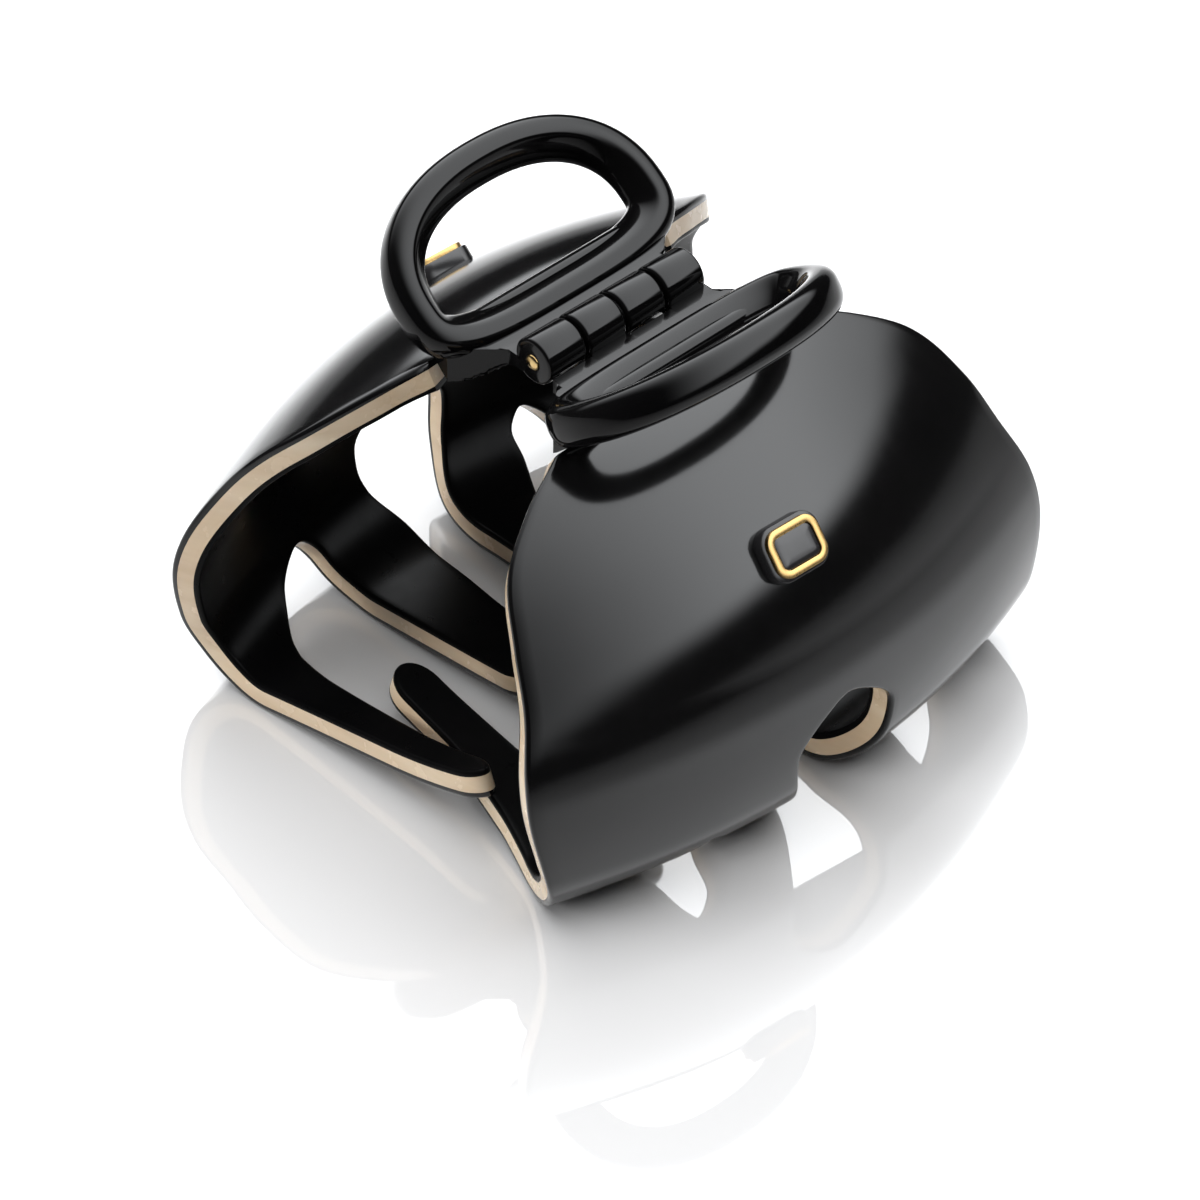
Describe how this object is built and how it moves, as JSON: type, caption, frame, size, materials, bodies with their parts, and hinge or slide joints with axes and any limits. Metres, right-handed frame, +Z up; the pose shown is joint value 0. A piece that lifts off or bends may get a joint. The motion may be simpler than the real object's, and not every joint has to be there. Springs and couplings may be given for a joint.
{
  "type": "hair claw",
  "caption": "Large dark hair claw with two curved laminated jaws, interleaving wide teeth, D-shaped finger loops and a sprung hinge.",
  "frame": {"origin": "middle of the bounding box at the level of the surface the closed claw stands on", "axes": "+Z up, +Y along the hinge pin, +X out through the right jaw"},
  "size_m": [0.0868, 0.09, 0.0711],
  "materials": {
    "dark_acetate": "polished",
    "ivory_acetate": "polished",
    "badge_enamel": "satin",
    "gold_plate": "brushed",
    "brass": "polished",
    "spring_steel": "drawn wire"
  },
  "bodies": {
    "left_jaw": {"left_outer_sheet": "dark_acetate", "left_core_sheet": "ivory_acetate", "left_inner_sheet": "dark_acetate", "left_handle": "dark_acetate", "left_badge_base": "badge_enamel", "left_badge_face": "gold_plate", "hinge_pin": "brass", "torsion_spring": "spring_steel"},
    "right_jaw": {"right_outer_sheet": "dark_acetate", "right_core_sheet": "ivory_acetate", "right_inner_sheet": "dark_acetate", "right_handle": "dark_acetate", "right_badge_base": "badge_enamel", "right_badge_face": "gold_plate"}
  },
  "joints": [
    {"name": "jaw_hinge", "type": "hinge", "parent": "left_jaw", "child": "right_jaw", "pos_m": [0, 0, 0.05709], "axis": [0, -1, 0], "range_deg": [0, 60], "stiffness_Nm_per_rad": 0.02, "springref_deg": -57.3}
  ]
}
